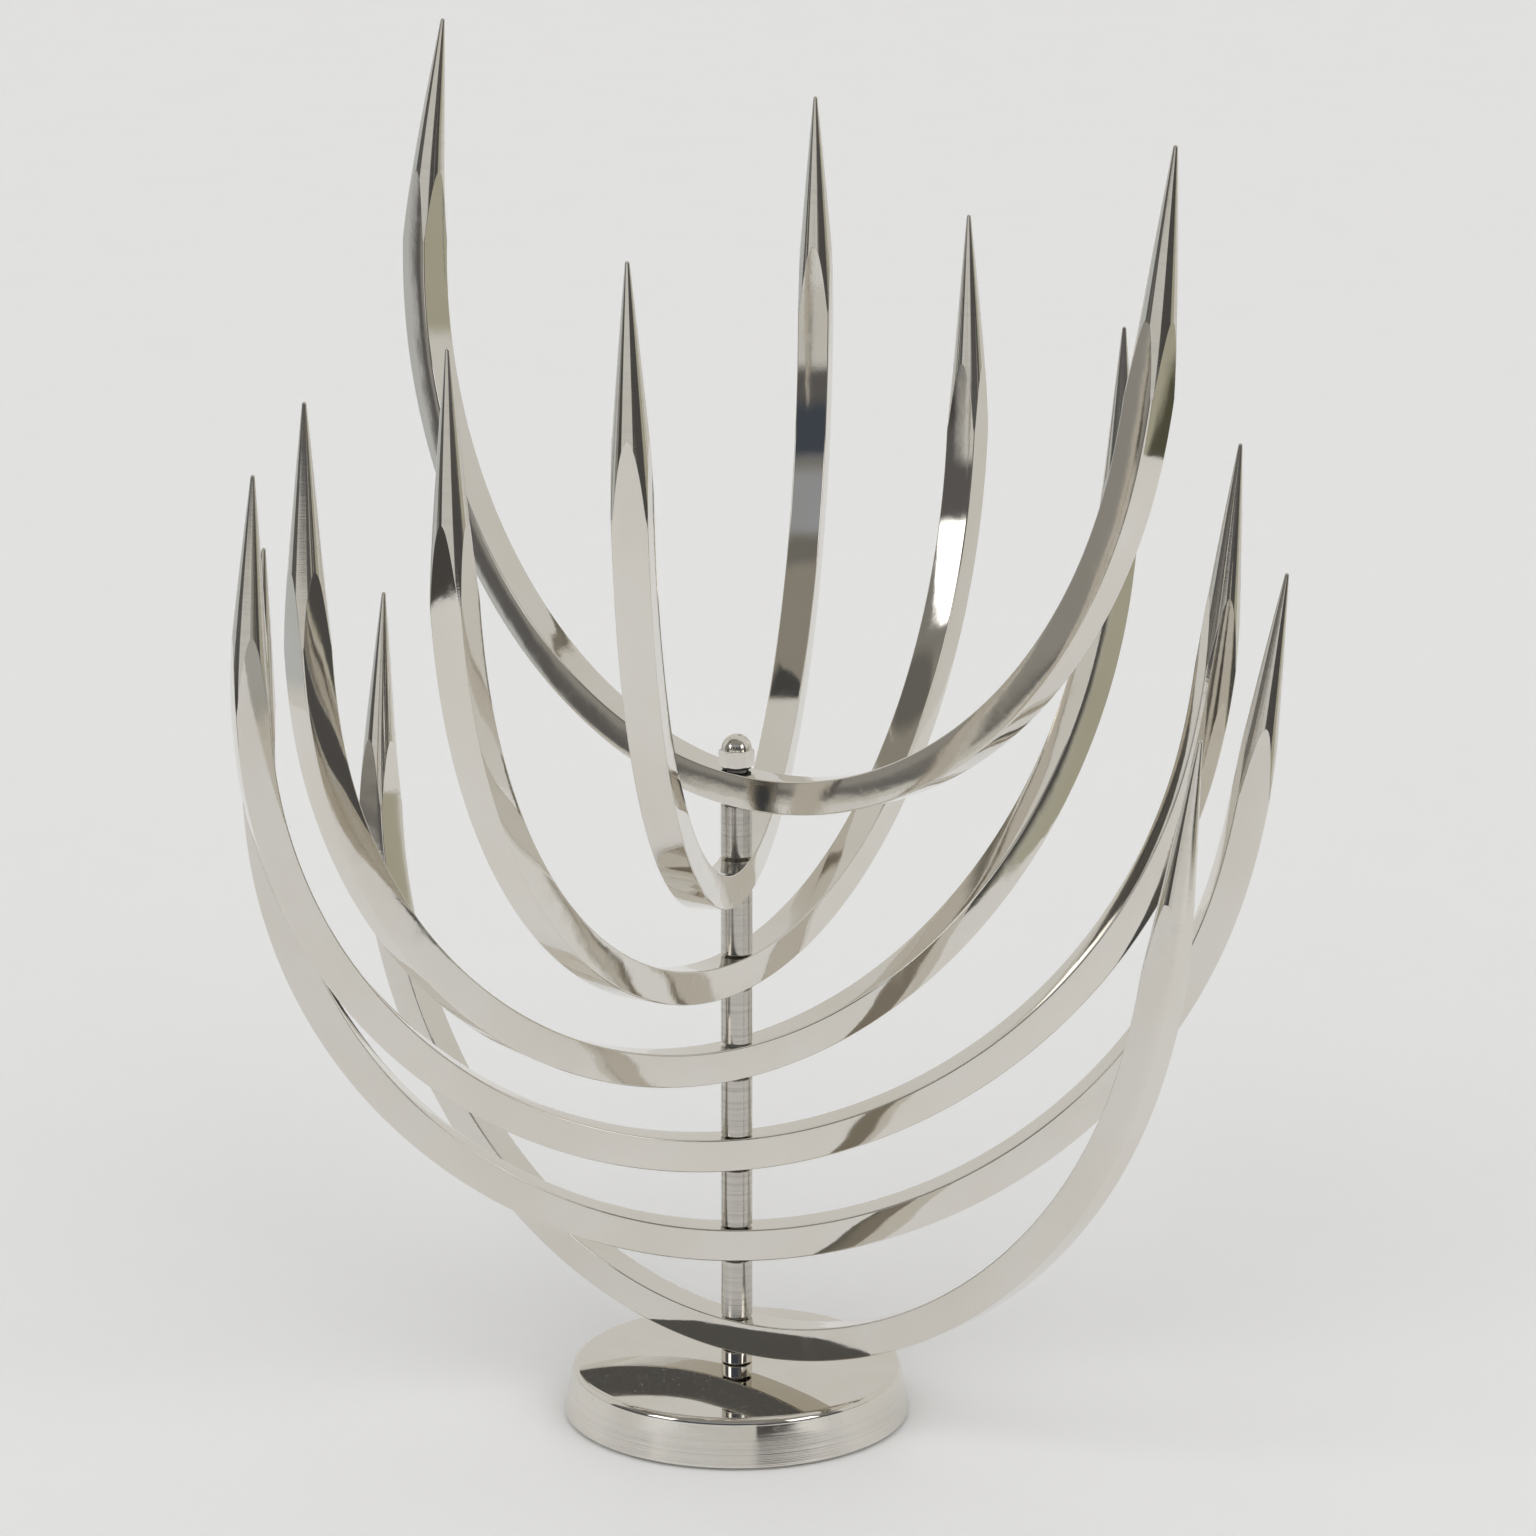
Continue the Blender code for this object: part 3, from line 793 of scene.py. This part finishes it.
def make_camera():
    """The photograph's camera, fitted to the bars' places."""
    forward = Vector(
        (math.sin(YAW) * math.cos(PITCH), math.cos(YAW) * math.cos(PITCH), -math.sin(PITCH))
    )
    level = Vector((math.cos(YAW), -math.sin(YAW), 0.0))
    upright = level.cross(forward)
    right = math.cos(ROLL) * level + math.sin(ROLL) * upright
    up = math.cos(ROLL) * upright - math.sin(ROLL) * level
    data = bpy.data.cameras.new("camera")
    data.sensor_width = SENSOR_WIDTH
    data.lens = SENSOR_WIDTH * FOCAL_SHARE
    camera = bpy.data.objects.new("camera", data)
    bpy.context.scene.collection.objects.link(camera)
    camera.matrix_world = Matrix(
        (
            (right.x, up.x, -forward.x, 0.0),
            (right.y, up.y, -forward.y, -CAMERA_AWAY),
            (right.z, up.z, -forward.z, CAMERA_HEIGHT),
            (0.0, 0.0, 0.0, 1.0),
        )
    )
    bpy.context.scene.camera = camera


# ----------------------------------------------------------- room, floor, light

# The strip of floor that the polish mirrors, and the whole floor's reach.
STRIP_LEFT, STRIP_RIGHT, STRIP_FRONT, STRIP_BACK = -0.78, 0.76, -1.7, 9.0
FLOOR_REACH = 14.0
FLOOR_COLOUR = (0.945, 0.943, 0.937)
WORLD_LOW, WORLD_HIGH = (0.745, 0.745, 0.742), (0.30, 0.30, 0.30)
WORLD_FADE = (0.12, 0.22)  # sines of the elevations between which low turns into high
SUNS = (  # azimuth from the camera's side and + from the right, elevation, strength
    (-38, 32, 1.2),
    (38, 32, 1.2),
    (-125, 65, 0.17),
    (125, 65, 0.17),
)
SUN_ANGLE = 55
ROOM_RADIUS = 9.0
ROOM_SUBDIVISIONS = 5

# What the polish mirrors: a light tent behind, a dim room in front with two soft boxes.
# Each row is (azimuth from, to, elevation from, to, edge softness, colour), azimuth 0
# towards the camera and + to the right, in degrees, later rows over earlier ones.
ROOM_BACK = (0.67, 0.66, 0.635)
ROOM_PATCHES = (
    (-95, 76, -40, 25, 3, (0.116, 0.113, 0.113)),
    (-95, 76, 25, 62, 8, (0.235, 0.230, 0.215)),
    (-110, 62, 46, 97, 10, (0.29, 0.27, 0.235)),
    (-140, -95, -15, 5, 2, (0.53, 0.55, 0.56)),
    (-99, -91.5, -25, -12.6, 1, (0.60, 0.59, 0.55)),
    (-91.5, -80, -25, -11.6, 1, (0.60, 0.59, 0.55)),
    (-91.5, -80, -10.5, -3, 2, (0.30, 0.29, 0.27)),
    (-75, -57, -25, -1, 4, (0.070, 0.066, 0.064)),
    (-57, 13, -16, 5, 3, (0.62, 0.615, 0.595)),
    (13, 76, -25, 2, 3, (0.082, 0.079, 0.078)),
    (-38, 8, 13, 27, 5, (0.060, 0.072, 0.095)),
    (-38, 20, 30, 46, 5, (0.33, 0.345, 0.37)),
    (-38, 20, 46, 53, 4, (0.180, 0.175, 0.160)),
    (-90, -68, 10, 27, 3, (0.113, 0.113, 0.114)),
    (-90, -67, 43, 58, 5, (0.150, 0.146, 0.135)),
    (-106, -63, 76, 86, 4, (0.065, 0.066, 0.066)),
    (76, 100, -30, 7, 4, (0.42, 0.41, 0.325)),
    (97, 107, -27, -15, 3, (0.09, 0.088, 0.06)),
    (-64, -45, 17, 39, 2.0, (2.3, 2.3, 2.3)),
    (37, 59, 17, 40, 2.0, (2.3, 2.3, 2.3)),
)


def only_seen_by(obj, camera=False, diffuse=False, glossy=False, shadow=False):
    """Hides the object from every kind of ray that isn't named."""
    obj.visible_camera = camera
    obj.visible_diffuse = diffuse
    obj.visible_glossy = glossy
    obj.visible_shadow = shadow
    obj.visible_transmission = camera
    obj.visible_volume_scatter = False


def rectangle(name, x0, y0, x1, y1, material):
    """A level part of the floor."""
    mesh = bpy.data.meshes.new(name)
    corners = [(x0, y0, 0.0), (x1, y0, 0.0), (x1, y1, 0.0), (x0, y1, 0.0)]
    mesh.from_pydata(corners, [], [(0, 1, 2, 3)])
    obj = new_object(name, mesh, material)
    return obj


def room_material():
    """The room's patches as plain light, by direction from the middle of the room."""
    material = bpy.data.materials.new("room")
    material.use_nodes = True
    tree = material.node_tree
    tree.nodes.clear()
    g = Graph(tree)
    place = g.node("ShaderNodeNewGeometry").outputs["Position"]
    unit = g.node("ShaderNodeVectorMath", place, operation="NORMALIZE").outputs[0]
    x, y, z = g.node("ShaderNodeSeparateXYZ", unit).outputs
    azimuth = g.math("DEGREES", g.math("ARCTAN2", x, g.times(y, -1.0)))
    elevation = g.math("DEGREES", g.math("ARCSINE", z))
    colour = ROOM_BACK
    for west, east, low, high, soft, patch in ROOM_PATCHES:
        inside = 1.0
        for value, start, end in ((azimuth, west, east), (elevation, low, high)):
            rise = g.step(value, start - soft / 2, start + soft / 2)
            fall = g.step(value, end - soft / 2, end + soft / 2)
            inside = g.times(inside, g.math("SUBTRACT", rise, fall, clamp=True))
        colour = g.mix(inside, colour, patch)
    light = g.node("ShaderNodeEmission", colour, 1.0)
    g.node("ShaderNodeOutputMaterial", light.outputs[0])
    return material


def make_room():
    """The sphere that only reflections see."""
    mesh = bpy.data.meshes.new("room")
    bm = bmesh.new()
    bmesh.ops.create_icosphere(bm, subdivisions=ROOM_SUBDIVISIONS, radius=ROOM_RADIUS)
    bm.to_mesh(mesh)
    bm.free()
    room = new_object("room", mesh, room_material())
    only_seen_by(room, glossy=True)


def make_floor():
    """One paper floor, of which the polish mirrors only the strip under the sculpture."""
    sweep = paper("floor_paper", FLOOR_COLOUR)
    rectangle("floor", STRIP_LEFT, STRIP_FRONT, STRIP_RIGHT, STRIP_BACK, sweep)
    for name, x0, y0, x1, y1 in (
        ("floor_left", -FLOOR_REACH, -FLOOR_REACH, STRIP_LEFT, FLOOR_REACH),
        ("floor_right", STRIP_RIGHT, -FLOOR_REACH, FLOOR_REACH, FLOOR_REACH),
        ("floor_front", STRIP_LEFT, -FLOOR_REACH, STRIP_RIGHT, STRIP_FRONT),
        ("floor_back", STRIP_LEFT, STRIP_BACK, STRIP_RIGHT, FLOOR_REACH),
    ):
        outer = rectangle(name, x0, y0, x1, y1, sweep)
        only_seen_by(outer, camera=True, diffuse=True, shadow=True)


def make_world():
    """Even light, paler towards the horizon."""
    world = bpy.data.worlds.new("studio")
    bpy.context.scene.world = world
    world.use_nodes = True
    g = Graph(world.node_tree)
    place = g.node("ShaderNodeTexCoord").outputs["Generated"]
    upward = g.node("ShaderNodeSeparateXYZ", place).outputs[2]
    sky = g.mix(g.step(upward, *WORLD_FADE), WORLD_LOW, WORLD_HIGH)
    g.tree.links.new(sky, world.node_tree.nodes["Background"].inputs["Color"])


def make_lights():
    """Soft light from four sides, for the floor only: the polish mirrors the room instead."""
    for number, (azimuth, elevation, strength) in enumerate(SUNS, 1):
        sun = bpy.data.lights.new(f"sun_{number}", "SUN")
        sun.energy = strength
        sun.angle = math.radians(SUN_ANGLE)
        obj = bpy.data.objects.new(sun.name, sun)
        bpy.context.scene.collection.objects.link(obj)
        obj.rotation_euler = (math.radians(90 - elevation), 0.0, math.radians(azimuth))
        obj.visible_glossy = False


make_camera()
make_room()
make_floor()
make_world()
make_lights()
bpy.context.scene.view_settings.view_transform = "Standard"
